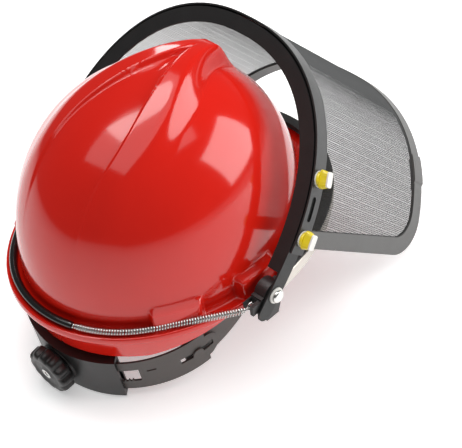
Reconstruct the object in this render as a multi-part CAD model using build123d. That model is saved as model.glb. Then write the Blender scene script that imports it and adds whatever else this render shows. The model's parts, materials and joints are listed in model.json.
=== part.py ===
from build123d import *
import os
from math import acos, atan2, cos, degrees, hypot, pi, radians, sin, sqrt

# Forestry helmet. Millimetres. The wearer faces -Y, +Z is up, and the wearer's right is -X.
# The origin is the centre of the head opening, level with the rain gutter.

# Shell: a dome turned about Z, then stretched along Y.
DOME_HALF_WIDTH = 105.5
DOME_HEIGHT = 137.0
DOME_BASE_Z = 3.0
DOME_FULLNESS = 0.6
WALL = 3.0
STRETCH_Y = 1.19
SHELL_CENTRE_Y = -3.0
GUTTER_FLOOR_Z = -4.0
FLANGE_RADIUS = 117.0
FLANGE_BOTTOM_Z = -9.0
SKIRT_BOTTOM_Z = -36.0
PEAK_HALF_WIDTH = 119.2
PEAK_REACH = 156.0
SIDE_SLOT_LENGTH = 25.0
SIDE_SLOT_GAP = 5.0
SIDE_SLOT_INNER = 106.9
REAR_HOUSING = {"start": 47, "end": 66, "radius": 111.3, "z": (3.1, 13.0)}
SIDE_HOUSING = {"start": 81, "end": 98, "radius": 114.0, "z": (FLANGE_BOTTOM_Z, 14.0)}

# Crest: a second, larger dome set forward and up, kept inside a plan outline.
CREST_SHIFT = (0.0, -13.0, 11.0)
CREST_OUTLINE = [(0, -108), (16, -98), (34, -56), (46, 0), (50, 45), (42, 82)]

# Tensioner: a spring and a sleeved cable in the gutter.
TENSION_Z = -0.6
SLEEVE_RADIUS = 3.3
SPRING_RADIUS = 3.2
REAR_ARC_RADIUS = 98.75
REAR_ARC_CENTRE_Y = 30.25
SIDE_ARC_RADIUS = 150.0
SIDE_ARC_CENTRE_X = 39.0
HOOK_POINT = (123.0, 21.0)
SPRING_START_ANGLE = 108.0

# Carrier frame round the peak.
FRAME_HALF_WIDTH = 124.4
FRAME_REACH = 161.8
FRAME_THICKNESS = 1.8
FRAME_BOTTOM_Z = -9.5
FRAME_HEIGHT = 12.0
FRAME_END_Y = -2.0

# Hinge blocks and pivots at the two sides.
PIVOT_Y = 2.0
PIVOT_Z = 2.0
BLOCK_INNER_X = 118.8
BLOCK_OUTER_X = 129.4
PIVOT_RADIUS = 3.0
RUNNING_GAP = 0.05

# Visor arch, drawn in its own plane: u is across, v is up the arch, w is the way the mesh runs.
ARCH_PLANE_ANGLE = 45.0
ARCH_CENTRE = (0.0, 2.7, 13.5)
ARCH_HALF_WIDTH = 125.0
ARCH_DEPTH = 165.5
ARCH_POWER = 2.3
ARCH_BAND = 7.0
ARCH_INNER = 5.5
ARCH_SHEET = 1.8
ARCH_RIM_WIDTH = 15.0
ARCH_LEG = 31.0
EAR_RADIUS = 8.5
MESH_OFFSET = 7.3
MESH_THICKNESS = 0.3
MESH_DEPTH = 187.0
MESH_DROOP = 0.06
MESH_SIDE_V = 33.0
MESH_SIDE_RISE = 0.075
MESH_CORNER_RADIUS = 33.0
TRIM_WIDTH = 14.0
TRIM_WALL = 1.1
STRIP_THICKNESS = 1.4
KNOB_HEIGHTS = {"lower": 41.0, "upper": 87.0}
KNOB_W = 8.0

# Harness, in a frame tipped so that the nape hangs lower than the brow.
HARNESS_CENTRE = (0.0, 33.0, -51.0)
HARNESS_TIP = -8.0
OUTER_STRAP = (88.0, 89.8)
INNER_STRAP = (85.5, 87.3)
STRAP_HALF_HEIGHT = 17.0
STRAP_END_ANGLE = 92
STUD_ANGLE = 78
BAND_OUTER = 84.2
BAND_FRONT_REACH = 122.0
BAND_WALL = 2.0
PINION_TEETH = 12
PINION_PITCH_RADIUS = 6.0
RACK_GAP_EDGE = 7.1
HOUSING_OUTER = (90.3, 93.3)
HOUSING_INNER = (82.6, 84.9)
HOUSING_HALF_ANGLE = 36.0
HOUSING_HALF_HEIGHT = 22.0
KNOB_RADIUS = 21.5
KNOB_FACE = 108.0
CHIN_HOLE_RADIUS = 3.0
CHIN_HOLE_Y = -30.0
KEY_ANGLE = 40
CROWN_HALF_SPAN = 110.0

HARNESS = Location(HARNESS_CENTRE, (HARNESS_TIP, 0, 0))
VISOR_PLANE = Plane(
    origin=ARCH_CENTRE,
    x_dir=(1, 0, 0),
    z_dir=(0, -sin(radians(ARCH_PLANE_ANGLE)), -cos(radians(ARCH_PLANE_ANGLE))),
)

os.makedirs("parts", exist_ok=True)


def save(name, shape):
    export_step(shape, f"parts/{name}.step")
    print(f"{name:28s} {shape.volume / 1000:9.2f} cm3  valid {shape.is_valid}")


def box(x, y, z):
    """A box from its limits on each axis, each a (low, high) pair."""
    size = [high - low for low, high in (x, y, z)]
    middle = [(high + low) / 2 for low, high in (x, y, z)]
    return Pos(*middle) * Box(*size)


def bar(start, end, width, thickness):
    """A straight flat bar between two points, its width kept level."""
    run = Vector(end) - Vector(start)
    upright = hypot(run.X, run.Y) < 0.001
    level = Vector(1, 0, 0) if upright else run.cross(Vector(0, 0, 1)).normalized()
    section = Plane(origin=start, x_dir=level, z_dir=run.normalized())
    return extrude(section * Rectangle(width, thickness), amount=run.length)


def round_bar(start, end, radius):
    run = Vector(end) - Vector(start)
    return extrude(Plane(origin=start, z_dir=run.normalized()) * Circle(radius), amount=run.length)


def oval_solid(profile):
    """Turn a half section about Z, then stretch it along Y to the head's shape."""
    turned = revolve(Plane.XZ * profile, axis=Axis.Z)
    return Pos(0, SHELL_CENTRE_Y, 0) * scale(turned, by=(1, STRETCH_Y, 1))


def dome_curve(half_width, height):
    """Quarter of the dome's section, a little fuller than an ellipse, from the base to the top."""
    top = DOME_BASE_Z + height
    side = DOME_BASE_Z + DOME_FULLNESS * height
    return Bezier((half_width, DOME_BASE_Z), (half_width, side), (DOME_FULLNESS * half_width, top), (0, top))


def dome_section(shrink):
    """Half section of the solid dome, with its wall drawn in by shrink and open at the skirt."""
    half_width = DOME_HALF_WIDTH - shrink
    height = DOME_HEIGHT - shrink
    arc = dome_curve(half_width, height)
    sides = Polyline(
        (0, DOME_BASE_Z + height),
        (0, SKIRT_BOTTOM_Z - 10),
        (half_width + 1.0, SKIRT_BOTTOM_Z - 10),
        (half_width + 2.8, FLANGE_BOTTOM_Z),
        (half_width, DOME_BASE_Z),
    )
    return make_face(arc + sides)


def shell_outline():
    """Half section of the outside of the shell, down to the bottom of the skirt."""
    arc = dome_curve(DOME_HALF_WIDTH, DOME_HEIGHT)
    wall = DOME_HALF_WIDTH
    sides = Polyline(
        (0, DOME_BASE_Z + DOME_HEIGHT),
        (0, SKIRT_BOTTOM_Z),
        (wall + 1.0, SKIRT_BOTTOM_Z),
        (wall + 3.6, FLANGE_BOTTOM_Z),
        (FLANGE_RADIUS - 1.0, FLANGE_BOTTOM_Z),
        (FLANGE_RADIUS, FLANGE_BOTTOM_Z + 1.0),
        (FLANGE_RADIUS, GUTTER_FLOOR_Z + 0.6),
        (FLANGE_RADIUS - 1.0, GUTTER_FLOOR_Z + 1.4),
        (FLANGE_RADIUS - 2.4, GUTTER_FLOOR_Z),
        (wall + 1.8, GUTTER_FLOOR_Z),
        (wall + 0.6, GUTTER_FLOOR_Z + 1.4),
        (wall, DOME_BASE_Z),
    )
    return make_face(arc + sides)


def oval_ring(inner, outer, z, start, end):
    """Part of an oval ring beside the shell's wall, between two angles measured from the rear."""
    ring = Ellipse(outer, outer * STRETCH_Y) - Ellipse(inner, inner * STRETCH_Y)
    reach = 2 * outer
    corners = [(reach * sin(radians(a)), reach * cos(radians(a))) for a in (start, (start + end) / 2, end)]
    wedge = make_face(Polyline((0, 0), *corners, (0, 0)))
    return Pos(0, SHELL_CENTRE_Y, z[0]) * extrude(ring & wedge, amount=z[1] - z[0])


def crest_block(shrink):
    """The crest's own dome inside its outline, both drawn in by shrink."""
    outline = [(x * (1 - shrink / 50), y * (1 - shrink / 100)) for x, y in CREST_OUTLINE]
    left = [(-x, y) for x, y in reversed(outline[1:])]
    face = make_face(Polyline(*outline, *left, outline[0]))
    prism = Pos(0, 0, DOME_BASE_Z + 50) * extrude(face, amount=DOME_HEIGHT)
    return (Pos(*CREST_SHIFT) * oval_solid(dome_section(shrink))) & prism


def make_cavity():
    return oval_solid(dome_section(WALL)) + crest_block(WALL)


def make_shell(cavity):
    body = oval_solid(shell_outline())
    peak = Pos(0, 0, FLANGE_BOTTOM_Z) * extrude(Ellipse(PEAK_HALF_WIDTH, PEAK_REACH), amount=5.5)
    peak = peak & box((-200, 200), (-200, -22), (-20, 20))
    body = body + crest_block(0) + peak
    for side in (1, -1):
        for housing in (REAR_HOUSING, SIDE_HOUSING):
            start, end = sorted((side * housing["start"], side * housing["end"]))
            body = body + oval_ring(102, housing["radius"], housing["z"], start, end)
    body = body - cavity
    low_edge = Polyline((-200, -12), (17, -12), (34, -22), (60, -30), (90, SKIRT_BOTTOM_Z + 0.5), (200, -35.5))
    below = Polyline((200, -35.5), (200, -90), (-200, -90), (-200, -12))
    under_skirt = extrude(Plane.YZ * make_face(low_edge + below), amount=200, both=True)
    body = body - under_skirt
    for side in (1, -1):
        # The gutter's lip is cut down where the spring and the cable leave it.
        relief = oval_ring(107.6, 125, (-6.6, 1.9), *sorted((side * 52, side * 80)))
        spread = (side * SIDE_SLOT_INNER, side * (SIDE_SLOT_INNER + SIDE_SLOT_GAP))
        slot = box(sorted(spread), (-SIDE_SLOT_LENGTH / 2, SIDE_SLOT_LENGTH / 2), (-20, 8))
        body = body - relief - slot
    return body


def make_carrier_frame():
    z_low = FRAME_BOTTOM_Z
    outer = Ellipse(FRAME_HALF_WIDTH, FRAME_REACH)
    inner = Ellipse(FRAME_HALF_WIDTH - FRAME_THICKNESS, FRAME_REACH - FRAME_THICKNESS)
    band = Pos(0, 0, z_low) * extrude(outer - inner, amount=FRAME_HEIGHT)
    return band & box((-200, 200), (-200, FRAME_END_Y), (-50, 50))


def make_frame_seal():
    """L-section strip: a wall between the band and the peak, and a lip over the peak's edge."""
    gap = FRAME_THICKNESS + 0.1
    top_z = FRAME_BOTTOM_Z + FRAME_HEIGHT
    wall = Ellipse(FRAME_HALF_WIDTH - gap, FRAME_REACH - gap) - Ellipse(PEAK_HALF_WIDTH + 0.2, PEAK_REACH + 0.2)
    lip = Ellipse(FRAME_HALF_WIDTH + 0.3, FRAME_REACH + 0.3) - Ellipse(FRAME_HALF_WIDTH - 9, FRAME_REACH - 10)
    strip = Pos(0, 0, FRAME_BOTTOM_Z + 1) * extrude(wall, amount=FRAME_HEIGHT)
    strip = strip + Pos(0, 0, top_z + 0.1) * extrude(lip, amount=2.6)
    return strip & box((-200, 200), (-200, -24), (-50, 50))


def make_hinge_block(carrier):
    """Right-hand block: pivot boss, lower foot and a rear lug with the tensioner's pin hole."""
    outline = Circle(10.5)
    outline = outline + make_face(Polyline((-13.5, 3), (13.5, 3), (9, -24), (-4, -24), (-13.5, 3)))
    outline = outline + Pos(15, -3) * Rectangle(16, 9)
    plane = Plane(origin=(-BLOCK_INNER_X, PIVOT_Y, PIVOT_Z), x_dir=(0, 1, 0), z_dir=(-1, 0, 0))
    # Local x runs along +Y, and local y runs along -Z on this plane.
    block = extrude(plane * mirror(outline, about=Plane.XZ), amount=BLOCK_OUTER_X - BLOCK_INNER_X)
    bore = round_bar((-110, PIVOT_Y, PIVOT_Z), (-140, PIVOT_Y, PIVOT_Z), PIVOT_RADIUS)
    fork = box((-126, -120), (PIVOT_Y + 14.2, PIVOT_Y + 30), (-10, 10))
    grown_band = carrier + Pos(0, 0, 0.1) * carrier + Pos(0, 0, -0.1) * carrier
    return block - bore - fork - grown_band


def make_pivot_bolt():
    """Bolt through the ear of the arch into the block, with a domed head outside."""
    shank = round_bar((-BLOCK_INNER_X - 1, PIVOT_Y, PIVOT_Z), (-133.4, PIVOT_Y, PIVOT_Z), PIVOT_RADIUS)
    head = round_bar((-133.4, PIVOT_Y, PIVOT_Z), (-136.6, PIVOT_Y, PIVOT_Z), 5.4)
    head = fillet(head.edges().filter_by(GeomType.CIRCLE).sort_by(Axis.X)[0], 1.8)
    return shank + head


def make_pivot_washer():
    ring = Circle(6.8) - Circle(PIVOT_RADIUS + RUNNING_GAP)
    plane = Plane(origin=(-132.1, PIVOT_Y, PIVOT_Z), z_dir=(-1, 0, 0))
    return extrude(plane * ring, amount=1.2)


def oval_point(radius, centre_x, centre_y, angle):
    return (centre_x + radius * cos(radians(angle)), centre_y + radius * sin(radians(angle)))


def tension_path_angles():
    """Angles, on the right-hand side arc, where it starts and where the straight run leaves it."""
    start = degrees(atan2(SHELL_CENTRE_Y - REAR_ARC_CENTRE_Y, SIDE_ARC_CENTRE_X)) + 180
    away_x = -HOOK_POINT[0] - SIDE_ARC_CENTRE_X
    away_y = HOOK_POINT[1] - SHELL_CENTRE_Y
    toward = degrees(atan2(away_y, away_x))
    leave = toward - degrees(acos(SIDE_ARC_RADIUS / hypot(away_x, away_y)))
    return start, leave


def make_tension_tube(radius, rear_from):
    """Tube on the right-hand side of the gutter, from an angle on the rear arc to the hook."""
    start, leave = tension_path_angles()
    rear = CenterArc((0, REAR_ARC_CENTRE_Y), REAR_ARC_RADIUS, rear_from, start - rear_from)
    side = CenterArc((SIDE_ARC_CENTRE_X, SHELL_CENTRE_Y), SIDE_ARC_RADIUS, start, leave - start)
    run = Line(side @ 1, (-HOOK_POINT[0], HOOK_POINT[1] + 6.0))
    path = Pos(0, 0, TENSION_Z) * (rear + side + run)
    begin = oval_point(REAR_ARC_RADIUS, 0, REAR_ARC_CENTRE_Y, rear_from)
    heading = (-sin(radians(rear_from)), cos(radians(rear_from)), 0)
    section = Plane(origin=(*begin, TENSION_Z), z_dir=heading) * Circle(radius)
    tube = sweep(section, path=path)
    print("tube volume over section times length", tube.volume / (pi * radius**2 * path.length))
    return tube


def make_hook():
    """Right-hand wire hook: a shank from the tube's end and an eye round the block's pin."""
    x, y = HOOK_POINT
    eye = Pos(-x, y + 0.2, TENSION_Z) * Rot(0, 90, 0) * Torus(3.2, 0.9)
    shank = round_bar((-x, y + 3.0, TENSION_Z), (-x, y + 5.4, TENSION_Z), 0.9)
    pin = round_bar((-118.9, y - 0.9, TENSION_Z), (-129.3, y - 0.9, TENSION_Z), 1.1)
    return eye + shank, pin


def arch_curve(offset):
    """The arch's outline at an offset from its middle line, from the right foot to the left."""
    half_width = ARCH_HALF_WIDTH + offset
    depth = ARCH_DEPTH + offset
    points = []
    steps = 28
    for i in range(steps + 1):
        angle = pi * i / steps
        across = abs(cos(angle)) ** (2 / ARCH_POWER) * half_width
        up = abs(sin(angle)) ** (2 / ARCH_POWER) * depth
        points.append((-across if angle < pi / 2 else across, up))
    points[0] = (-half_width, 0)
    points[-1] = (half_width, 0)
    return Spline(*points, tangents=((0, 1), (0, -1)))


def arch_band(low, high, foot):
    """Face between two offsets of the arch, with straight legs down to v = foot."""
    outer = arch_curve(high)
    inner = arch_curve(low)
    left = ARCH_HALF_WIDTH
    if foot == 0:
        feet = Line((-left - high, 0), (-left - low, 0)) + Line((left + high, 0), (left + low, 0))
        return make_face(outer + inner + feet)
    right_leg = Polyline((-left - high, 0), (-left - high, foot), (-left - low, foot), (-left - low, 0))
    left_leg = Polyline((left + high, 0), (left + high, foot), (left + low, foot), (left + low, 0))
    return make_face(outer + inner + right_leg + left_leg)


def in_visor(shape):
    return VISOR_PLANE.location * shape


def slab_u(outline):
    """Prism right across the visor from an outline in (v, w)."""
    plane = Plane(origin=(-200, 0, 0), x_dir=(0, 1, 0), z_dir=(1, 0, 0))
    return extrude(plane * outline, amount=400)


def pivot_in_visor():
    """The pivot's place in the visor's own plane, as (v, w)."""
    angle = radians(ARCH_PLANE_ANGLE)
    dy = PIVOT_Y - ARCH_CENTRE[1]
    dz = PIVOT_Z - ARCH_CENTRE[2]
    return (-cos(angle) * dy + sin(angle) * dz, -sin(angle) * dy - cos(angle) * dz)


def stud_place(side, height):
    """Point on the outer face of the arch at a height up it, and the outward direction, in (u, v)."""
    half_width = ARCH_HALF_WIDTH + ARCH_BAND
    depth = ARCH_DEPTH + ARCH_BAND
    across = half_width * (1 - (height / depth) ** ARCH_POWER) ** (1 / ARCH_POWER)
    normal_u = across ** (ARCH_POWER - 1) / half_width**ARCH_POWER
    normal_v = height ** (ARCH_POWER - 1) / depth**ARCH_POWER
    length = hypot(normal_u, normal_v)
    return (side * across, height), (side * normal_u / length, normal_v / length)


def stud_plane(side, height, out):
    """Plane across a knob's axis, at a distance out from the arch's outer face."""
    (u, v), (normal_u, normal_v) = stud_place(side, height)
    origin = (u + out * normal_u, v + out * normal_v, KNOB_W)
    return Plane(origin=origin, x_dir=(0, 0, 1), z_dir=(normal_u, normal_v, 0))


def disc_on_stud(side, height, out, length, outline):
    return extrude(stud_plane(side, height, out) * outline, amount=length)


def make_visor_arc():
    """Pressed L-section arch with an ear at each foot for the pivot."""
    flat = extrude(arch_band(-ARCH_INNER, ARCH_BAND, 0), amount=ARCH_SHEET)
    flat = flat & box((-200, 200), (10, 400), (-5, 5))
    rim = extrude(arch_band(ARCH_BAND - ARCH_SHEET, ARCH_BAND, -ARCH_LEG), amount=ARCH_RIM_WIDTH)
    end_radius = ARCH_RIM_WIDTH / 2
    rounded_end = Pos(end_radius - ARCH_LEG, end_radius) * Circle(end_radius)
    above_end = Pos(200 + end_radius - ARCH_LEG, end_radius) * Rectangle(400, ARCH_RIM_WIDTH + 1)
    rim = rim & slab_u(rounded_end + above_end)
    arch = flat + rim
    v, w = pivot_in_visor()
    inner = ARCH_HALF_WIDTH + ARCH_BAND - ARCH_SHEET
    for side in (1, -1):
        plane = Plane(origin=(side * inner, v, w), z_dir=(side, 0, 0))
        arch = arch + extrude(plane * Circle(EAR_RADIUS), amount=ARCH_SHEET)
        arch = arch - extrude(plane * Circle(PIVOT_RADIUS + RUNNING_GAP), amount=ARCH_SHEET + 5)
        for height in KNOB_HEIGHTS.values():
            arch = arch - disc_on_stud(side, height, -6, 9, Circle(2.05))
    return arch


def visor_outline(inset):
    """Outline in (v, w) that trims the visor sheet: side edges, rounded corners and free edge."""
    corner = MESH_CORNER_RADIUS - 0.75 * inset
    near_v = MESH_SIDE_V + inset
    far_v = near_v + MESH_SIDE_RISE * MESH_DEPTH
    far_w = MESH_DEPTH - inset
    path = FilletPolyline((260, 2), (260, far_w), (far_v, far_w), (near_v, 2), radius=[0.5, corner])
    return make_face(path + Line((near_v, 2), (260, 2)))


def drawn_out(face, length):
    """A face drawn along the mesh's own direction, which droops a little from the strip's edge on."""
    lift = MESH_DROOP * (ARCH_RIM_WIDTH + 2)
    return Pos(0, lift, 0) * extrude(face, amount=length, dir=(0, -MESH_DROOP, 1))


def visor_sheet(low, high, inset):
    return drawn_out(arch_band(low, high, 0), MESH_DEPTH + 3) & slab_u(visor_outline(inset))


def make_visor_mesh():
    sheet = visor_sheet(MESH_OFFSET, MESH_OFFSET + MESH_THICKNESS, 1.5)
    for side in (1, -1):
        for height in KNOB_HEIGHTS.values():
            sheet = sheet - disc_on_stud(side, height, -1, 6, Circle(2.05))
    return sheet


def make_edge_trim(mesh):
    """Channel folded over the sheet's free and side edges."""
    low = MESH_OFFSET - TRIM_WALL
    high = MESH_OFFSET + MESH_THICKNESS + TRIM_WALL
    band = visor_sheet(low, high, 0) - slab_u(visor_outline(TRIM_WIDTH))
    band = band & box((-200, 200), (0, 400), (ARCH_RIM_WIDTH + 3, 400))
    return band - mesh


def make_clamp_strip():
    low = MESH_OFFSET + MESH_THICKNESS + 0.1
    strip = drawn_out(arch_band(low, low + STRIP_THICKNESS, 0), ARCH_RIM_WIDTH + 3)
    strip = strip & box((-200, 200), (28, 400), (0.8, ARCH_RIM_WIDTH + 2))
    for side in (1, -1):
        for height in KNOB_HEIGHTS.values():
            strip = strip - disc_on_stud(side, height, -1, 8, Circle(2.05))
        middle = sum(KNOB_HEIGHTS.values()) / 2
        strip = strip - disc_on_stud(side, middle, -1, 8, SlotOverall(20, 5, rotation=90))
    return strip


def make_trim_clip(trim, mesh):
    """Small sleeve that joins the two ends of the trim."""
    low = MESH_OFFSET - TRIM_WALL - 0.9
    high = MESH_OFFSET + MESH_THICKNESS + TRIM_WALL + 0.9
    sleeve = drawn_out(arch_band(low, high, 0), MESH_DEPTH + 3)
    sleeve = sleeve & box((-108, -94), (60, 400), (MESH_DEPTH - TRIM_WIDTH - 0.5, MESH_DEPTH + 0.9))
    return sleeve - trim - mesh


def make_knob(side, height):
    """Yellow quick-turn knob: a round foot and a tapered grip; and its pale end cap."""
    first = 0.8 + STRIP_THICKNESS + 0.4 + 0.9
    foot = disc_on_stud(side, height, first, 2.0, Circle(6.0) - Circle(2.05))
    low = stud_plane(side, height, first + 2.0) * RectangleRounded(9.0, 15.0, 3.0)
    top = stud_plane(side, height, first + 8.0) * RectangleRounded(6.8, 12.0, 2.6)
    grip = loft([low.face(), top.face()])
    bore = disc_on_stud(side, height, first, 6.0, Circle(2.05))
    cap = disc_on_stud(side, height, first + 8.0, 1.5, RectangleRounded(7.2, 12.4, 2.8))
    return foot + grip - bore, cap


def make_knob_studs():
    """Screws of the two right-hand knobs, with their heads inside the arch."""
    studs = []
    for height in KNOB_HEIGHTS.values():
        shank = disc_on_stud(-1, height, -3.5, 11.9, Circle(2.0))
        studs.append(shank + disc_on_stud(-1, height, -3.5, 1.4, Circle(4.0)))
    return Compound(children=studs)


def make_knob_washers():
    low = 0.8 + STRIP_THICKNESS + 0.4
    ring = Circle(6.6) - Circle(2.05)
    return Compound(children=[disc_on_stud(-1, h, low, 0.8, ring) for h in KNOB_HEIGHTS.values()])


def make_visor_rivets():
    """Flat rivets that hold the strip and the mesh to the arch on the wearer's left."""
    low = 0.8 + STRIP_THICKNESS + 0.4
    rivets = []
    for height in KNOB_HEIGHTS.values():
        rivet = disc_on_stud(1, height, -3.5, low + 4.7, Circle(2.0))
        rivet = rivet + disc_on_stud(1, height, -3.5, 1.4, Circle(4.0))
        rivets.append(rivet + disc_on_stud(1, height, low, 1.2, Circle(4.0)))
    return Compound(children=rivets)


def sector(radii, half_height, start, end, lift=0.0):
    """Part of a ring round the harness's axis, between two angles measured from the nape.
    Positive angles run towards the wearer's right."""
    inner, outer = radii
    section = Pos((inner + outer) / 2, lift) * Rectangle(outer - inner, 2 * half_height)
    turned = revolve(Plane.XZ * section, axis=Axis.Z, revolution_arc=end - start)
    return Rot(0, 0, 90 + start) * turned


def at_angle(angle):
    """Move from the nape (+Y) round the harness's axis by an angle."""
    return Rot(0, 0, angle)


def make_rear_strap(radii, side):
    """Curved strap with a rack of teeth along one edge of its window, and a slot for the stud."""
    window_end = 46
    blank = sector(radii, STRAP_HALF_HEIGHT, -19, STRAP_END_ANGLE)
    window = sector((radii[0] - 1, radii[1] + 1), RACK_GAP_EDGE, -15.5, window_end)
    pitch = 2 * pi * PINION_PITCH_RADIUS / PINION_TEETH
    step = degrees(pitch / ((radii[0] + radii[1]) / 2))
    tooth = make_face(Polyline((-1.05, -7.7), (1.05, -7.7), (0.38, -5.25), (-0.38, -5.25), (-1.05, -7.7)))
    plane = Plane(origin=(0, radii[1] + 1, 0), x_dir=(1, 0, 0), z_dir=(0, -1, 0))
    prism = extrude(plane * tooth, amount=radii[1] - radii[0] + 2)
    count_low = int(14.5 / step)
    count_high = int((window_end - 1.5) / step)
    teeth = [at_angle((k + 0.5) * step) * prism for k in range(-count_low, count_high)]
    strap = blank - (window - teeth)
    stud_slot = sector((radii[0] - 1, radii[1] + 1), 2.7, STUD_ANGLE - 10, STUD_ANGLE + 10)
    slit = sector((radii[0] - 1, radii[1] + 1), 0.8, 50, 55, lift=3.5)
    strap = strap - stud_slot - slit
    corner = box((-20, 20), (radii[0] - 2, radii[1] + 2), (-20, 20)) - Rot(90, 0, 0) * Cylinder(12, 300)
    tip = at_angle(STRAP_END_ANGLE) * (corner & box((-20, 0), (0, 200), (-20, 20)))
    strap = strap - Rot(0, 0, degrees(-12.5 / radii[1])) * tip
    return strap if side < 0 else Rot(0, 180, 0) * strap


def make_pinion():
    """Gear between the two racks, turned so that a tooth points straight up and down."""
    points = []
    step = 360 / PINION_TEETH
    for k in range(PINION_TEETH):
        for radius, turn in ((4.8, -8.0), (6.75, -3.1), (6.75, 3.1), (4.8, 8.0)):
            angle = radians(90 + k * step + turn)
            points.append((radius * cos(angle), radius * sin(angle)))
    outline = make_face(Polyline(*points, points[0])) - Circle(1.6)
    plane = Plane(origin=(0, 89.9, 0), x_dir=(1, 0, 0), z_dir=(0, -1, 0))
    return extrude(plane * outline, amount=4.7)


def nape_disc(radius, start, end):
    """Cylinder along the knob's axis, between two distances from the harness's axis."""
    return extrude(Plane(origin=(0, start, 0), z_dir=(0, 1, 0)) * Circle(radius), amount=end - start)


def make_ratchet_knob():
    """Fluted knob with a raised collar and the spindle that reaches the pinion."""
    body = nape_disc(KNOB_RADIUS, 96.0, KNOB_FACE)
    body = chamfer(body.edges().filter_by(GeomType.CIRCLE).sort_by(Axis.Y)[-1], 2.5)
    flutes = 12
    for k in range(flutes):
        angle = radians((k + 0.5) * 360 / flutes)
        flute = Pos(24.0 * cos(angle), 0, 24.0 * sin(angle)) * nape_disc(4.2, 95.0, KNOB_FACE + 1)
        body = body - flute
    body = body + nape_disc(15.0, 94.0, 96.0) + nape_disc(4.0, 90.2, 94.0)
    return body - nape_disc(5.2, KNOB_FACE - 2.2, KNOB_FACE + 1) - nape_disc(1.6, 80, KNOB_FACE)


def make_ratchet_screw():
    head = nape_disc(4.8, KNOB_FACE - 2.1, KNOB_FACE - 0.1)
    cross = box((-3, 3), (KNOB_FACE - 1.2, KNOB_FACE + 1), (-0.5, 0.5))
    cross = cross + box((-0.5, 0.5), (KNOB_FACE - 1.2, KNOB_FACE + 1), (-3, 3))
    return head + nape_disc(1.55, 86.0, KNOB_FACE - 2.0) - cross


def make_nape_bracket():
    """Outer half of the nape housing: plate, top and bottom walls, and a boss behind the knob."""
    angle = HOUSING_HALF_ANGLE
    plate = sector(HOUSING_OUTER, HOUSING_HALF_HEIGHT, -angle, angle)
    strap_room = STRAP_HALF_HEIGHT + 1.0
    wall_height = (HOUSING_HALF_HEIGHT - strap_room) / 2
    wall_lift = (HOUSING_HALF_HEIGHT + strap_room) / 2
    walls = [
        sector((HOUSING_INNER[1] + 0.1, HOUSING_OUTER[0] + 1), wall_height, -angle, angle, lift=s * wall_lift)
        for s in (1, -1)
    ]
    for wall in walls:
        plate = plate + wall
    boss = nape_disc(18.0, 88.0, 93.8) - sector((60, HOUSING_OUTER[0]), 30, -60, 60)
    return plate + boss - nape_disc(4.0 + RUNNING_GAP, 70, 120)


def make_nape_cover():
    return sector(HOUSING_INNER, HOUSING_HALF_HEIGHT, -HOUSING_HALF_ANGLE, HOUSING_HALF_ANGLE)


def half_oval(radius, reach):
    """Brow-side outline of the headband: a half ellipse in front, part of a circle behind."""
    front = Ellipse(radius, reach) & Pos(0, -200) * Rectangle(400, 400)
    return front + Circle(radius)


def make_headband_front():
    ring = half_oval(BAND_OUTER, BAND_FRONT_REACH) - half_oval(BAND_OUTER - BAND_WALL, BAND_FRONT_REACH - BAND_WALL)
    band = Pos(0, 0, -STRAP_HALF_HEIGHT) * extrude(ring, amount=2 * STRAP_HALF_HEIGHT)
    band = band & box((-200, 200), (-200, 26.0), (-50, 50))
    for side in (1, -1):
        band = band - chin_hole(side) - round_bar(*stud_axis(side, 80.0, 86.0), 2.5)
    return band


def chin_hole_frame(side):
    """Centre of the chin-strap hole on the band's mid-wall, and the wall's outward direction."""
    radius = BAND_OUTER - BAND_WALL / 2
    reach = BAND_FRONT_REACH - BAND_WALL / 2
    x = radius * sqrt(1 - (CHIN_HOLE_Y / reach) ** 2)
    outward = Vector(side * x / radius**2, CHIN_HOLE_Y / reach**2, 0).normalized()
    return Vector(side * x, CHIN_HOLE_Y, 0), outward


def chin_hole(side):
    centre, outward = chin_hole_frame(side)
    return round_bar(centre - outward * 6, centre + outward * 6, CHIN_HOLE_RADIUS)


def stud_axis(side, start, end):
    """Two points on the axis of the stud that guides a rear strap's front end."""
    angle = radians(STUD_ANGLE)
    direction = (side * sin(angle), cos(angle), 0)
    return [tuple(distance * d for d in direction) for distance in (start, end)]


def make_band_studs():
    studs = []
    for side, radii in ((-1, OUTER_STRAP), (1, INNER_STRAP)):
        stud = round_bar(*stud_axis(side, BAND_OUTER - BAND_WALL, radii[1] + 0.3), 2.5)
        head = round_bar(*stud_axis(side, radii[1] + 0.3, radii[1] + 1.8), 5.0)
        studs.append(stud + head)
    return Compound(children=studs)


def make_sweatband():
    """Brow pad inside the front of the headband."""
    gap = BAND_WALL + 0.3
    outer = Ellipse(BAND_OUTER - gap, BAND_FRONT_REACH - gap)
    inner = Ellipse(BAND_OUTER - gap - 4, BAND_FRONT_REACH - gap - 5)
    pad = Pos(0, 0, -17) * extrude(outer - inner, amount=34)
    return pad & box((-200, 200), (-200, -55), (-50, 50))


def make_key(side, angle):
    """Suspension key against the shell's inner wall."""
    start, end = sorted((side * (angle - 8), side * (angle + 8)))
    block = oval_ring(96.5, 106, (FLANGE_BOTTOM_Z, DOME_BASE_Z), start, end)
    return block & oval_solid(dome_section(WALL + 0.3))


def make_rear_key(side):
    key = make_key(side, KEY_ANGLE)
    tab = box(sorted((side * 40, side * 52)), (98.3, 101.3), (-37.0, FLANGE_BOTTOM_Z + 3))
    bridge = box(sorted((side * 40, side * 60)), (86.0, 98.8), (FLANGE_BOTTOM_Z, FLANGE_BOTTOM_Z + 3))
    return key + tab + bridge


def make_front_key(side):
    key = make_key(side, 180 - KEY_ANGLE)
    near_key = Vector(side * 64.5, -95.0, FLANGE_BOTTOM_Z + 1.5)
    near_band = Vector(side * 55.0, -60.0, FLANGE_BOTTOM_Z + 1.5)
    arm = bar(near_key, near_band, 14.0, 3.0)
    tab = bar(near_band + Vector(0, 0, 1.5), near_band - Vector(0, 0, 20.0), 3.0, 3.0)
    return key + arm + tab


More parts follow.
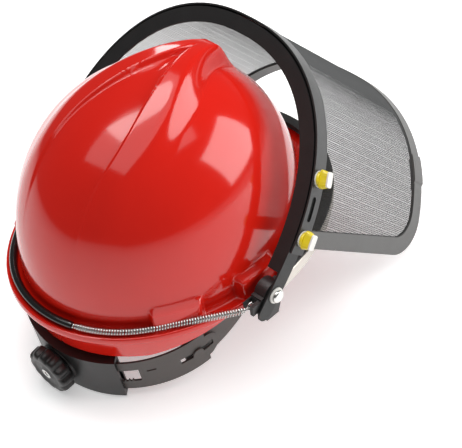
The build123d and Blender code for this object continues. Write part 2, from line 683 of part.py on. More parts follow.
def make_crown_strap(direction, rise):
    """Textile strap over the head, from a front key to the opposite rear key."""
    along = Vector(*direction, 0).normalized()
    plane = Plane(origin=(0, SHELL_CENTRE_Y, 0), x_dir=along, z_dir=along.cross(Vector(0, 0, 1)))
    outer = Ellipse(CROWN_HALF_SPAN, 101.0 + rise)
    ring = outer - Ellipse(CROWN_HALF_SPAN - 1.5, 99.5 + rise)
    ring = ring & Pos(0, 100 + DOME_BASE_Z + 0.4) * Rectangle(400, 200)
    return extrude(plane * ring, amount=9, both=True)


def make_crown_pad():
    return Pos(0, SHELL_CENTRE_Y, 94.6) * Cylinder(23, 3.0)


def main():
    cavity = make_cavity()
    save("shell", make_shell(cavity))
    carrier = make_carrier_frame()
    save("carrier_frame", carrier)
    save("frame_seal", make_frame_seal())

    right_parts = {
        "hinge_block": make_hinge_block(carrier),
        "pivot_bolt": make_pivot_bolt(),
        "pivot_washer": make_pivot_washer(),
    }
    hook, pin = make_hook()
    right_parts["tension_hook"] = hook
    right_parts["tension_pin"] = pin
    right_parts["hinge_block"] = right_parts["hinge_block"] - pin
    for name, shape in right_parts.items():
        save(f"{name}_right", shape)
        save(f"{name}_left", mirror(shape, about=Plane.YZ))

    save("tension_spring", make_tension_tube(SPRING_RADIUS, SPRING_START_ANGLE))
    sleeve = mirror(make_tension_tube(SLEEVE_RADIUS, 180 - SPRING_START_ANGLE + 0.3), about=Plane.YZ)
    save("cable_sleeve", sleeve)

    mesh = make_visor_mesh()
    trim = make_edge_trim(mesh)
    save("visor_arc", in_visor(make_visor_arc()))
    save("visor_mesh", in_visor(mesh))
    save("visor_edge_trim", in_visor(trim))
    save("visor_clamp_strip", in_visor(make_clamp_strip()))
    save("trim_joint_clip", in_visor(make_trim_clip(trim, mesh)))
    save("visor_knob_studs", in_visor(make_knob_studs()))
    save("visor_knob_washers", in_visor(make_knob_washers()))
    save("visor_rivets", in_visor(make_visor_rivets()))
    for level, height in KNOB_HEIGHTS.items():
        knob, cap = make_knob(-1, height)
        save(f"visor_knob_{level}", in_visor(knob))
        save(f"knob_cap_{level}", in_visor(cap))

    save("headband_rear_right", HARNESS * make_rear_strap(OUTER_STRAP, -1))
    save("headband_rear_left", HARNESS * make_rear_strap(INNER_STRAP, 1))
    save("ratchet_pinion", HARNESS * make_pinion())
    save("ratchet_knob", HARNESS * make_ratchet_knob())
    save("ratchet_screw", HARNESS * make_ratchet_screw())
    save("nape_bracket", HARNESS * make_nape_bracket())
    save("nape_cover", HARNESS * make_nape_cover())
    save("headband_front", HARNESS * make_headband_front())
    save("band_studs", HARNESS * make_band_studs())
    save("sweatband", HARNESS * make_sweatband())
    for side, side_name in ((-1, "right"), (1, "left")):
        save(f"suspension_key_rear_{side_name}", make_rear_key(side))
        save(f"suspension_key_front_{side_name}", make_front_key(side))
    save("crown_strap_lower", make_crown_strap((60, 85), 0.0))
    save("crown_strap_upper", make_crown_strap((-60, 85), 3.0))
    save("crown_pad", make_crown_pad())


main()
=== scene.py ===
import json
import math

import bmesh
import bpy
import numpy as np
from mathutils import Matrix, Vector, noise


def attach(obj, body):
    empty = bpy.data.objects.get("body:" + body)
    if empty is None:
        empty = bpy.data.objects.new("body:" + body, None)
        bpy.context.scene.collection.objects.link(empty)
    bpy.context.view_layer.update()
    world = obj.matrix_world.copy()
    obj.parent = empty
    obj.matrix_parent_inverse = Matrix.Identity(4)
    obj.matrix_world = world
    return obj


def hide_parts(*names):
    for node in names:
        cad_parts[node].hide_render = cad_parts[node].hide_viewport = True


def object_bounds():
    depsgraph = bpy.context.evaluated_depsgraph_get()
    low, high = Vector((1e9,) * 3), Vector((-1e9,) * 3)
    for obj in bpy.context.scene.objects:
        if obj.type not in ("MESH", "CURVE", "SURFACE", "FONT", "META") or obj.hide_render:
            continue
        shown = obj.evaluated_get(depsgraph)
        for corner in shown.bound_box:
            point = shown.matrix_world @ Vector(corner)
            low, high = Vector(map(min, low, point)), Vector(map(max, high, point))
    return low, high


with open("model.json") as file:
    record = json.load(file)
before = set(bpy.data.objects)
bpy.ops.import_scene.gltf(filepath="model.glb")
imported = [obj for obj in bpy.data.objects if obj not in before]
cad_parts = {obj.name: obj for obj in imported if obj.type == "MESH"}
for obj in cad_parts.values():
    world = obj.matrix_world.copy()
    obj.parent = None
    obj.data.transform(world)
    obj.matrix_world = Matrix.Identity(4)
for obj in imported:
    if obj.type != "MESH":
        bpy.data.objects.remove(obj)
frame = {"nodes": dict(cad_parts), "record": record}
cad_low, cad_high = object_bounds()
scene = bpy.context.scene
nodes = frame["nodes"]

# Shapes are worked out in millimetres and made in metres. The wearer faces -Y and +Z is up.
MM = 0.001

# Shell
DOME_HALF_WIDTH = 105.5
DOME_HEIGHT = 137.0
DOME_BASE_Z = 3.0
DOME_FULLNESS = 0.64
STRETCH_Y = 1.19
SHELL_CENTRE_Y = -3.0
WALL = 3.0
CREST_REAR = 3.0
CREST_TOP = 17.5
FLANGE_RADIUS = 117.0
FLANGE_BOTTOM_Z = -9.0
GUTTER_FLOOR_Z = -4.0
PEAK_HALF_WIDTH = 119.2
PEAK_REACH = 156.0
REAR_HOUSING = {"start": 47, "end": 66, "radius": 111.3, "top": 13.0}
SIDE_HOUSING = {"start": 81, "end": 98, "radius": 114.0, "top": 14.0}

# Tensioner
TENSION_Z = -0.6
SLEEVE_RADIUS = 3.3
SPRING_RADIUS = 3.35
SPRING_WIRE = 0.72
SPRING_PITCH = 2.15
REAR_ARC_RADIUS = 98.75
REAR_ARC_CENTRE_Y = 30.25
SIDE_ARC_RADIUS = 150.0
SIDE_ARC_CENTRE_X = 39.0
HOOK_POINT = (123.0, 21.0)
HOOK_EYE_RADIUS = 3.2
HOOK_WIRE_RADIUS = 0.85
SPRING_START_ANGLE = 108.0

# Carrier frame and its seal
FRAME_HALF_WIDTH = 124.4
FRAME_REACH = 161.8
FRAME_BOTTOM_Z = -9.5
FRAME_TOP_Z = 2.5

# Visor: u across, v up the arch, w the way the mesh runs
ARCH_TILT = math.radians(45)
ARCH_CENTRE = Vector((0.0, 2.7, 13.5))
ARCH_HALF_WIDTH = 125.0
ARCH_DEPTH = 165.5
ARCH_POWER = 2.3
ARCH_OUTER = 7.0
MESH_OFFSET = 7.45
MESH_DEPTH = 187.0
MESH_DROOP = 0.06
DROOP_START = 17.0
MESH_SIDE_V = 33.0
MESH_SIDE_RISE = 0.075
MESH_CORNER_RADIUS = 33.0
MESH_PITCH = 1.6
WIRE_RADIUS = 0.24
WIRE_START = 3
KNOB_HEIGHTS = {"lower": 41.0, "upper": 87.0}
KNOB_W = 8.0

# Harness frame, tipped so that the nape hangs lower than the brow
HARNESS_CENTRE = Vector((0.0, 33.0, -51.0))
HARNESS_TIP = math.radians(-8)
CROWN_PAD_Z = 94.6
CROWN_HALF_SPAN = 108.5
CROWN_RISE = 99.5

# Camera: its bearing, elevation and roll in degrees, and its place to the right, up and back
CAMERA_BEARING = 229.04
CAMERA_ELEVATION = 43.44
CAMERA_ROLL = -7.09
CAMERA_PLACE = (58.19, -1.88, 1354.15)


# ---------------------------------------------------------------- mesh tools

def mesh_piece(name, points, faces, body, slot, material, replaces=(), smooth=40.0):
    """A piece from points in millimetres. Edges sharper than smooth, in degrees, stay sharp."""
    mesh = bpy.data.meshes.new(name)
    mesh.from_pydata([[c * MM for c in point] for point in points], [], faces)
    mesh.validate()
    obj = bpy.data.objects.new(name, mesh)
    scene.collection.objects.link(obj)
    mesh.materials.append(material)
    tidy_mesh(obj, smooth)
    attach(obj, body)
    if replaces:
        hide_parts(*replaces)
    return obj


def tidy_mesh(obj, smooth):
    """Merge doubled points, turn the faces outwards, and shade smooth up to an angle in degrees."""
    bm = bmesh.new()
    bm.from_mesh(obj.data)
    bmesh.ops.remove_doubles(bm, verts=bm.verts, dist=1e-7)
    bmesh.ops.recalc_face_normals(bm, faces=bm.faces)
    for face in bm.faces:
        face.smooth = True
    for edge in bm.edges:
        if len(edge.link_faces) == 2:
            edge.smooth = edge.calc_face_angle(0.0) < math.radians(smooth)
    bm.to_mesh(obj.data)
    bm.free()


def grid_faces(rows, columns, wrap_rows, wrap_columns):
    """Four-sided faces over rows of points, joined up at the end where a direction wraps."""
    faces = []
    for i in range(rows if wrap_rows else rows - 1):
        for j in range(columns if wrap_columns else columns - 1):
            a, b = i * columns, ((i + 1) % rows) * columns
            k = (j + 1) % columns
            faces.append((a + j, a + k, b + k, b + j))
    return faces


def sweep(places, section):
    """Points and faces of a section carried along places, each (origin, axis for x, axis for y)."""
    points = [origin + p * along + q * across for origin, along, across in places for p, q in section]
    count = len(section)
    faces = grid_faces(len(places), count, False, True)
    faces.append(tuple(range(count)))
    faces.append(tuple(range((len(places) - 1) * count, len(places) * count)))
    return points, faces


def along_path(path, up=Vector((0, 0, 1))):
    """Places for sweep along a path of points, with the section's y axis kept near up."""
    places = []
    for i, point in enumerate(path):
        heading = (path[min(i + 1, len(path) - 1)] - path[max(i - 1, 0)]).normalized()
        side = heading.cross(up).normalized()
        places.append((point, side, side.cross(heading).normalized()))
    return places


def circle(radius, count):
    """Closed outline of a circle."""
    steps = [2 * math.pi * k / count for k in range(count)]
    return [(radius * math.cos(a), radius * math.sin(a)) for a in steps]


def rounded_box(low, high, radius, steps):
    """Closed outline of a rectangle with rounded corners."""
    (x0, y0), (x1, y1) = low, high
    outline = []
    corners = ((x1, y1, 0), (x0, y1, 90), (x0, y0, 180), (x1, y0, 270))
    for x, y, start in corners:
        cx = x - radius if x == x1 else x + radius
        cy = y - radius if y == y1 else y + radius
        for k in range(steps + 1):
            angle = math.radians(start + 90 * k / steps)
            outline.append((cx + radius * math.cos(angle), cy + radius * math.sin(angle)))
    return outline


def lathe(profile, centre, axis, steps):
    """Points and faces of a closed profile of (radius, height) turned about an axis."""
    axis = axis.normalized()
    side = axis.orthogonal().normalized()
    other = axis.cross(side)
    points = []
    for k in range(steps):
        angle = 2 * math.pi * k / steps
        out = math.cos(angle) * side + math.sin(angle) * other
        points += [centre + r * out + h * axis for r, h in profile]
    return points, grid_faces(steps, len(profile), True, True)


def join_shapes(*shapes):
    """Points and faces of several shapes as one."""
    points, faces = [], []
    for some_points, some_faces in shapes:
        first = len(points)
        points += some_points
        faces += [tuple(first + i for i in face) for face in some_faces]
    return points, faces


def stack(foot, axes, levels):
    """Points and faces of closed outlines stacked along the third axis: each level is (height, outline)."""
    across, along, out = axes
    points = [foot + x * across + y * along + h * out for h, outline in levels for x, y in outline]
    count = len(levels[0][1])
    faces = grid_faces(len(levels), count, False, True)
    faces.append(tuple(range(count)))
    faces.append(tuple(range((len(levels) - 1) * count, len(levels) * count)))
    return points, faces


def soft_box(half_x, half_y, ribs=0.0):
    """Rounded oblong outline, with fine ribs down its long sides if asked."""
    outline = []
    count = 96
    for k in range(count):
        angle = 2 * math.pi * k / count
        c, s = math.cos(angle), math.sin(angle)
        x = math.copysign(abs(c) ** 0.42, c) * half_x
        y = math.copysign(abs(s) ** 0.42, s) * half_y
        groove = max(0.0, math.cos(2 * math.pi * y / 1.7)) * ramp(0.8, 0.97, abs(x) / half_x)
        outline.append((x - math.copysign(ribs * groove, x), y))
    return outline


def ramp(low, high, value):
    """Smooth step from 0 at low to 1 at high."""
    t = min(1.0, max(0.0, (value - low) / (high - low)))
    return t * t * (3 - 2 * t)


# ---------------------------------------------------------------- materials

def make_material(name, colour, roughness, metallic=0.0, coat=0.0, sheen=0.0, mottle=0.08, mottle_scale=60.0,
                  grain=0.0, grain_scale=900.0, rough_spread=0.06):
    """Principled material: colour and roughness wander with noise, and grain gives relief."""
    material = bpy.data.materials.new(name)
    material.use_nodes = True
    tree = material.node_tree
    shader = tree.nodes["Principled BSDF"]
    shader.inputs["Metallic"].default_value = metallic
    shader.inputs["Coat Weight"].default_value = coat
    shader.inputs["Coat Roughness"].default_value = 0.03
    shader.inputs["Sheen Weight"].default_value = sheen
    place = tree.nodes.new("ShaderNodeTexCoord").outputs["Object"]

    def noise_at(scale, detail):
        texture = tree.nodes.new("ShaderNodeTexNoise")
        texture.inputs["Scale"].default_value = scale
        texture.inputs["Detail"].default_value = detail
        tree.links.new(place, texture.inputs["Vector"])
        return texture.outputs["Fac"]

    def spread(source, low, high):
        remap = tree.nodes.new("ShaderNodeMapRange")
        remap.inputs["To Min"].default_value = low
        remap.inputs["To Max"].default_value = high
        tree.links.new(source, remap.inputs["Value"])
        return remap.outputs["Result"]

    def mix(factor, first, second):
        node = tree.nodes.new("ShaderNodeMix")
        node.data_type = "RGBA"
        tree.links.new(factor, node.inputs["Factor"])
        for socket, value in (("A", first), ("B", second)):
            target = [s for s in node.inputs if s.name == socket and s.type == "RGBA"][0]
            if isinstance(value, tuple):
                target.default_value = (*value, 1.0)
            else:
                tree.links.new(value, target)
        return [s for s in node.outputs if s.type == "RGBA"][0]

    dark = tuple(c * (1 - mottle) for c in colour)
    light = tuple(min(1.0, c * (1 + mottle) + 0.02 * mottle) for c in colour)
    shade = mix(noise_at(mottle_scale, 5.0), dark, light)
    tree.links.new(shade, shader.inputs["Base Color"])
    rough = spread(noise_at(mottle_scale * 2.3, 4.0), roughness - rough_spread, roughness + rough_spread)
    tree.links.new(rough, shader.inputs["Roughness"])
    if grain > 0:
        bump = tree.nodes.new("ShaderNodeBump")
        bump.inputs["Strength"].default_value = grain
        bump.inputs["Distance"].default_value = 0.0004
        tree.links.new(noise_at(grain_scale, 3.0), bump.inputs["Height"])
        tree.links.new(bump.outputs["Normal"], shader.inputs["Normal"])
    return material


def make_woven(name, colour, pitch):
    """Woven cloth: two crossing sets of ribs."""
    material = make_material(name, colour, 0.85, sheen=0.3, mottle=0.25, mottle_scale=400.0)
    tree = material.node_tree
    place = tree.nodes.new("ShaderNodeTexCoord").outputs["Object"]
    heights = []
    for direction in ("X", "Y", "Z"):
        wave = tree.nodes.new("ShaderNodeTexWave")
        wave.bands_direction = direction
        wave.inputs["Scale"].default_value = 0.314 / pitch
        tree.links.new(place, wave.inputs["Vector"])
        heights.append(wave.outputs["Fac"])
    total = heights[0]
    for other in heights[1:]:
        top = tree.nodes.new("ShaderNodeMath")
        top.operation = "MAXIMUM"
        tree.links.new(total, top.inputs[0])
        tree.links.new(other, top.inputs[1])
        total = top.outputs[0]
    bump = tree.nodes.new("ShaderNodeBump")
    bump.inputs["Strength"].default_value = 0.8
    bump.inputs["Distance"].default_value = 0.0006
    tree.links.new(total, bump.inputs["Height"])
    tree.links.new(bump.outputs["Normal"], tree.nodes["Principled BSDF"].inputs["Normal"])
    return material


RED = make_material("shell_red", (0.66, 0.012, 0.005), 0.12, coat=0.15, mottle=0.05, mottle_scale=25.0,
                    grain=0.015, grain_scale=260.0, rough_spread=0.03)
ALUMINIUM = make_material("frame_aluminium", (0.62, 0.58, 0.53), 0.38, metallic=0.85, grain=0.15,
                          grain_scale=1500.0)
SEAL = make_material("seal_rubber", (0.012, 0.012, 0.012), 0.6, grain=0.3, grain_scale=1200.0)
BLACK = make_material("black_plastic", (0.013, 0.012, 0.012), 0.38, grain=0.22, grain_scale=1800.0,
                      mottle=0.3)
STEEL = make_material("bright_steel", (0.72, 0.72, 0.70), 0.22, metallic=1.0, grain=0.05, grain_scale=2500.0)
NYLON = make_material("pale_washer", (0.82, 0.80, 0.76), 0.35, grain=0.1)
VINYL = make_material("sleeve_vinyl", (0.008, 0.008, 0.008), 0.16, coat=0.4, grain=0.03, grain_scale=500.0)
STRAP = make_material("strap_grey", (0.085, 0.075, 0.07), 0.55, grain=0.25, grain_scale=1500.0)
ARC = make_material("arc_black", (0.004, 0.004, 0.004), 0.5, grain=0.18, grain_scale=2200.0, mottle=0.3)
MESH = make_material("mesh_steel", (0.05, 0.052, 0.052), 0.5, metallic=0.3, mottle=0.15, mottle_scale=200.0)
TRIM = make_material("trim_grey", (0.085, 0.083, 0.08), 0.42, grain=0.15, grain_scale=1400.0)
STRIP = make_material("strip_dark", (0.02, 0.02, 0.02), 0.38, grain=0.15, grain_scale=1400.0)
YELLOW = make_material("knob_yellow", (0.86, 0.68, 0.02), 0.3, coat=0.3, grain=0.06, mottle=0.06)
ACETAL = make_material("pinion_plastic", (0.6, 0.6, 0.57), 0.4, grain=0.1)
FOAM = make_woven("pad_foam", (0.05, 0.05, 0.052), 0.0014)
WEBBING = make_woven("webbing", (0.25, 0.25, 0.24), 0.0016)
THREAD = make_material("stitch_thread", (0.5, 0.5, 0.48), 0.7, mottle=0.2, mottle_scale=900.0)

CAD_MATERIALS = {
    "shell_red": RED, "frame_aluminium": ALUMINIUM, "seal_rubber": SEAL, "black_plastic": BLACK,
    "bright_steel": STEEL, "pale_washer": NYLON, "sleeve_vinyl": VINYL, "strap_grey": STRAP,
    "arc_black": ARC, "mesh_steel": MESH, "trim_grey": TRIM, "strip_dark": STRIP,
    "knob_yellow": YELLOW, "pinion_plastic": ACETAL, "pad_foam": FOAM, "webbing": WEBBING,
}

# Edge rounding of the carried-over nodes, in millimetres, where it isn't the usual one
USUAL_ROUNDING = 0.35
EDGE_ROUNDING = {
    "visor_arc": 0.75, "nape_bracket": 0.8, "hinge_block_right": 0.7, "hinge_block_left": 0.7,
    "visor_edge_trim": 0.5, "trim_joint_clip": 0.5, "visor_clamp_strip": 0.3,
    "tension_pin_right": 0.2, "tension_pin_left": 0.2,
}


def finish_cad_nodes():
    """Each carried-over CAD node takes its slot's material and slightly rounded edges."""
    slot_of = {part["node"]: part["material_slot"] for part in frame["record"]["subparts"]}
    for name, obj in nodes.items():
        obj.data.materials.clear()
        obj.data.materials.append(CAD_MATERIALS[slot_of[name]])
        if not obj.hide_render:
            bevel = obj.modifiers.new("soft_edges", "BEVEL")
            bevel.width = EDGE_ROUNDING.get(name, USUAL_ROUNDING) * MM
            bevel.segments = 2
            bevel.limit_method = "ANGLE"
            bevel.angle_limit = math.radians(40)


# ---------------------------------------------------------------- shell

def crest_height(x, y):
    """Height of the crest above the plain dome: two ribs that meet in a beak at the front, with a
    lower band between them that widens towards the rear."""
    across = abs(x)
    rise = CREST_REAR + (CREST_TOP - CREST_REAR) * ramp(75, -78, y) ** 1.2
    fade = ramp(-98, -70, y) * (1 - ramp(62, 116, y))
    top_edge = 4 + 35 * ramp(-84, 40, y)
    foot = top_edge + 9 + 13 * ramp(-82, -20, y)
    flank = 1 - ramp(top_edge, foot, across)
    crease = 31 * ramp(-72, 64, y) - 1
    step = ramp(crease + 1.2, crease - 1.2, across) * ramp(-62, -40, y)
    depth = 2.4 + 1.6 * (1 - ramp(-10, 90, y))
    dish = 0.14 * rise * step * (1 - (across / max(crease, 1.0)) ** 2)
    return fade * (rise * flank - depth * step - dish)


def housing_bulge(angle, z):
    """Radial swelling of the wall at the accessory slots' housings, and how full it is."""
    bulge = 0.0
    for housing in (REAR_HOUSING, SIDE_HOUSING):
        full = housing["radius"] - DOME_HALF_WIDTH
        sides = ramp(housing["start"] - 1.2, housing["start"] + 1.2, angle)
        sides *= 1 - ramp(housing["end"] - 1.2, housing["end"] + 1.2, angle)
        height = 1 - ramp(housing["top"] - 1.5, housing["top"] + 1.5, z)
        bulge = max(bulge, full * sides * height)
    return bulge


def peak_radius(angle):
    """Distance, before stretching, from the shell's axis to the peak's edge."""
    s, c = math.sin(angle), math.cos(angle) * STRETCH_Y
    a = (s / PEAK_HALF_WIDTH) ** 2 + (c / PEAK_REACH) ** 2
    b = 2 * SHELL_CENTRE_Y * c / PEAK_REACH**2
    k = (SHELL_CENTRE_Y / PEAK_REACH) ** 2 - 1
    return (-b + math.sqrt(b * b - 4 * a * k)) / (2 * a)


def skirt_bottom(y):
    """Lower edge of the skirt: level with the flange at the sides, lowest at the rear."""
    drop = max(0.0, (y - 15) / 75)
    return -11.5 - 24.0 * min(1.0, drop) ** 0.72


def shell_section(angle):
    """Half section of the shell at an angle from the rear, as (radius, z), outside then inside."""
    turned = abs(math.degrees(math.atan2(math.sin(angle), math.cos(angle))))
    x_unit, y_unit = math.sin(angle), STRETCH_Y * math.cos(angle)
    place_y = SHELL_CENTRE_Y + y_unit * 108
    section = []

    def dome_point(phi, shrink):
        t = phi / (math.pi / 2)
        near, far = 3 * t * (1 - t) ** 2, 3 * t * t * (1 - t)
        radius = (DOME_HALF_WIDTH - shrink) * ((1 - t) ** 3 + near + DOME_FULLNESS * far)
        z = DOME_BASE_Z + (DOME_HEIGHT - shrink) * (DOME_FULLNESS * near + far + t**3)
        lift = crest_height(radius * x_unit, SHELL_CENTRE_Y + radius * y_unit)
        normal = Vector((math.cos(phi) / DOME_HALF_WIDTH, math.sin(phi) / DOME_HEIGHT)).normalized()
        return radius + lift * normal.x * 0.6, z + lift * max(0.35, normal.y)

    outer_steps, inner_steps = 150, 60
    for k in range(1, outer_steps + 1):
        phi = math.pi / 2 * (1 - k / outer_steps)
        radius, z = dome_point(phi, 0)
        swell = housing_bulge(turned, z)
        if swell > 0.01:
            radius = max(radius, DOME_HALF_WIDTH + swell)
        section.append((radius, z))
    peak = ramp(-8, -34, place_y)
    edge = FLANGE_RADIUS + (peak_radius(angle) - FLANGE_RADIUS) * peak
    swell = housing_bulge(turned, 0)
    wall = DOME_HALF_WIDTH + swell
    floor_z = GUTTER_FLOOR_Z + 0.6 * peak
    floor_in = wall + 2.2
    lip = 1.4 * (1 - peak)
    section += [
        (wall, 1.5), (wall + 0.1, 0.2), (wall + 0.5, -1.6), (wall + 1.1, -2.9),
        (min(floor_in, edge - 4.2), floor_z + 0.15), (min(floor_in + 1.2, edge - 3.6), floor_z),
        (edge - 3.0, floor_z), (edge - 2.3, floor_z + 0.4 * lip), (edge - 1.7, floor_z + 0.9 * lip),
        (edge - 1.0, floor_z + lip), (edge - 0.3, floor_z + 0.7 * lip), (edge, floor_z - 0.6),
        (edge, FLANGE_BOTTOM_Z + 1.0), (edge - 0.3, FLANGE_BOTTOM_Z + 0.3), (edge - 1.0, FLANGE_BOTTOM_Z),
    ]
    bottom = skirt_bottom(place_y)
    low = DOME_HALF_WIDTH + 3.6 - 2.6 * (FLANGE_BOTTOM_Z - bottom) / 27
    section += [
        (DOME_HALF_WIDTH + 4.6, FLANGE_BOTTOM_Z), (DOME_HALF_WIDTH + 3.8, FLANGE_BOTTOM_Z - 0.3),
        (DOME_HALF_WIDTH + 3.5, FLANGE_BOTTOM_Z - 1.2),
        (low + 0.1, bottom + 0.9), (low - 0.3, bottom + 0.2), (low - 1.2, bottom),
        (low - 2.2, bottom + 0.2), (low - 2.9, bottom + 0.9),
        (DOME_HALF_WIDTH, FLANGE_BOTTOM_Z), (DOME_HALF_WIDTH - WALL + 0.5, -2.0),
    ]
    for k in range(inner_steps, 0, -1):
        phi = math.pi / 2 * (1 - k / inner_steps)
        section.append(dome_point(phi, WALL))
    return section


def make_shell():
    """Shell from its half sections all the way round, closed at the top."""
    steps = 512
    points = []
    for k in range(steps):
        angle = 2 * math.pi * k / steps
        for radius, z in shell_section(angle):
            points.append(Vector((
                radius * math.sin(angle), SHELL_CENTRE_Y + STRETCH_Y * radius * math.cos(angle), z,
            )))
    count = len(points) // steps
    faces = grid_faces(steps, count, True, False)
    top = Vector((0, SHELL_CENTRE_Y, DOME_BASE_Z + DOME_HEIGHT + crest_height(0, SHELL_CENTRE_Y)))
    inside = top - Vector((0, 0, WALL))
    points += [top, inside]
    for k in range(steps):
        after = (k + 1) % steps
        faces.append((steps * count, k * count, after * count))
        faces.append((steps * count + 1, after * count + count - 1, k * count + count - 1))
    mesh_piece("shell_moulding", points, faces, "helmet", "shell_red", RED, ("shell",), smooth=50)


# ---------------------------------------------------------------- tensioner

def tension_path():
    """Middle line of the tensioner on the wearer's right, from the rear arc's top to the hook."""
    start = math.atan2(SHELL_CENTRE_Y - REAR_ARC_CENTRE_Y, SIDE_ARC_CENTRE_X) + math.pi
    away = Vector((-HOOK_POINT[0] - SIDE_ARC_CENTRE_X, HOOK_POINT[1] - SHELL_CENTRE_Y))
    leave = math.atan2(away.y, away.x) - math.acos(SIDE_ARC_RADIUS / away.length)
    path = []
    first = math.radians(60)
    rear_steps, side_steps, run_steps = 160, 60, 12
    for k in range(rear_steps):
        a = first + (start - first) * k / rear_steps
        path.append((REAR_ARC_RADIUS * math.cos(a), REAR_ARC_CENTRE_Y + REAR_ARC_RADIUS * math.sin(a)))
    for k in range(side_steps):
        a = start + (leave - start) * k / (side_steps - 1)
        path.append((
            SIDE_ARC_CENTRE_X + SIDE_ARC_RADIUS * math.cos(a), SHELL_CENTRE_Y + SIDE_ARC_RADIUS * math.sin(a),
        ))
    end = Vector((-HOOK_POINT[0], HOOK_POINT[1] + 6.0))
    last = Vector(path[-1])
    path += [tuple(last.lerp(end, k / run_steps)) for k in range(1, run_steps + 1)]
    return [Vector((x, y, TENSION_Z)) for x, y in path]


def part_of_path(path, angle):
    """The stretch of the path beyond an angle on the rear arc."""
    kept = []
    for point in path:
        turned = math.degrees(math.atan2(point.y - REAR_ARC_CENTRE_Y, point.x))
        if turned < 0:
            turned += 360
        if turned >= angle or kept:
            kept.append(point)
    return kept


def resample(path, spacing):
    """Points about spacing apart along a path, and the path's length."""
    lengths = [0.0]
    for a, b in zip(path[:-1], path[1:]):
        lengths.append(lengths[-1] + (b - a).length)
    total = lengths[-1]
    count = max(2, int(total / spacing))
    out, i = [], 0
    for k in range(count + 1):
        target = total * k / count
        while i < len(path) - 2 and lengths[i + 1] < target:
            i += 1
        share = (target - lengths[i]) / max(1e-9, lengths[i + 1] - lengths[i])
        out.append(path[i].lerp(path[i + 1], share))
    return out, total


def make_spring():
    """Close-coiled spring: a wire helix round the path, with a few tighter turns at each end."""
    path = part_of_path(tension_path(), SPRING_START_ANGLE)
    steps_per_turn = 12
    fine, total = resample(path, SPRING_PITCH / steps_per_turn)
    turns = total / SPRING_PITCH
    wire = []
    places = along_path(fine)
    for i, (origin, side, up) in enumerate(places):
        share = i / (len(places) - 1)
        from_end = min(share, 1 - share) * turns
        radius = (SPRING_RADIUS - SPRING_WIRE) * (0.72 + 0.28 * ramp(0, 2.5, from_end))
        angle = 2 * math.pi * share * turns
        wire.append(origin + radius * (math.cos(angle) * side + math.sin(angle) * up))
    shape = sweep(along_path(wire), circle(SPRING_WIRE, 6))
    mesh_piece("tension_spring_coil", *shape, "helmet", "bright_steel", STEEL, ("tension_spring",), smooth=80)


def make_sleeve():
    """Vinyl sleeve with slightly flared mouths, mirrored to the wearer's left."""
    path = part_of_path(tension_path(), 180 - SPRING_START_ANGLE + 0.3)
    path = [Vector((-p.x, p.y, p.z)) for p in path]
    spacing, sides = 1.6, 20
    fine, _ = resample(path, spacing)
    rings = []
    for i, (origin, side, up) in enumerate(along_path(fine)):
        near = min(i, len(fine) - 1 - i) * spacing
        wander = 0.05 * noise.noise(Vector((i * 0.11, 3.1, 0.7)))
        mouth = 0.05 * (1 - ramp(0, 4, near)) - 0.25 * (1 - ramp(0, 1.5, near))
        radius = 0.985 * SLEEVE_RADIUS + mouth + wander
        rings.append([origin + x * side + y * up for x, y in circle(radius, sides)])
    points = [p for ring in rings for p in ring]
    faces = grid_faces(len(rings), sides, False, True)
    for first in (0, (len(rings) - 1) * sides):
        faces.append(tuple(range(first, first + sides)))
    mesh_piece("cable_sleeve_tube", points, faces, "helmet", "sleeve_vinyl", VINYL, ("cable_sleeve",),
               smooth=60)


def make_hooks():
    """Wire hooks: a straight shank, and an eye bent round the block's pin."""
    for side, side_name in ((-1, "right"), (1, "left")):
        x, y = side * HOOK_POINT[0], HOOK_POINT[1]
        path = [Vector((x, y + 9.0 - k, TENSION_Z)) for k in range(6)]
        for k in range(26):
            angle = math.radians(80 - 325 * k / 25)
            forward = y + 0.2 + HOOK_EYE_RADIUS * math.sin(angle)
            height = TENSION_Z + 0.95 * HOOK_EYE_RADIUS * math.cos(angle)
            path.append(Vector((x, forward, height)))
        shape = sweep(along_path(path, Vector((1, 0, 0))), circle(HOOK_WIRE_RADIUS, 10))
        mesh_piece(f"hook_wire_{side_name}", *shape, "helmet", "bright_steel", STEEL,
                   (f"tension_hook_{side_name}",), smooth=80)


# ---------------------------------------------------------------- carrier frame

def oval_places(half_width, reach, start_y):
    """Places round the front of an oval from its right end to its left, x out and y up."""
    first = math.asin(start_y / reach)
    steps = 180
    places = []
    for k in range(steps + 1):
        angle = math.pi - first + (math.pi + 2 * first) * k / steps
        point = Vector((half_width * math.cos(angle), reach * math.sin(angle), 0))
        out = Vector((math.cos(angle) / half_width, math.sin(angle) / reach, 0)).normalized()
        places.append((point, out, Vector((0, 0, 1))))
    return places


def make_carrier():
    """Aluminium band with a rolled upper edge, and the rubber strip behind it."""
    z0, z1 = FRAME_BOTTOM_Z, FRAME_TOP_Z
    section = [(-1.8, z0 + 0.3), (-1.5, z0), (-0.3, z0), (0, z0 + 0.3), (0, z1 - 2.2), (0.7, z1 - 1.5),
               (0.7, z1 - 0.5), (0.3, z1), (-1.4, z1), (-1.8, z1 - 0.4)]
    shape = sweep(oval_places(FRAME_HALF_WIDTH, FRAME_REACH, start_y=-2.0), section)
    mesh_piece("carrier_band", *shape, "helmet", "frame_aluminium", ALUMINIUM, ("carrier_frame",), smooth=35)
    lip = [(-1.9, z0 + 1.2), (-4.8, z0 + 1.2), (-5.0, z0 + 1.6), (-5.0, z1 - 0.2), (-8.6, z1 + 0.3),
           (-8.9, z1 + 1.3), (-8.2, z1 + 2.2), (-4.0, z1 + 2.7), (-0.6, z1 + 2.5), (0.2, z1 + 1.6),
           (0.1, z1 + 0.3), (-1.9, z1 + 0.1)]
    shape = sweep(oval_places(FRAME_HALF_WIDTH, FRAME_REACH, start_y=-24.0), lip)
    mesh_piece("seal_strip", *shape, "helmet", "seal_rubber", SEAL, ("frame_seal",), smooth=35)


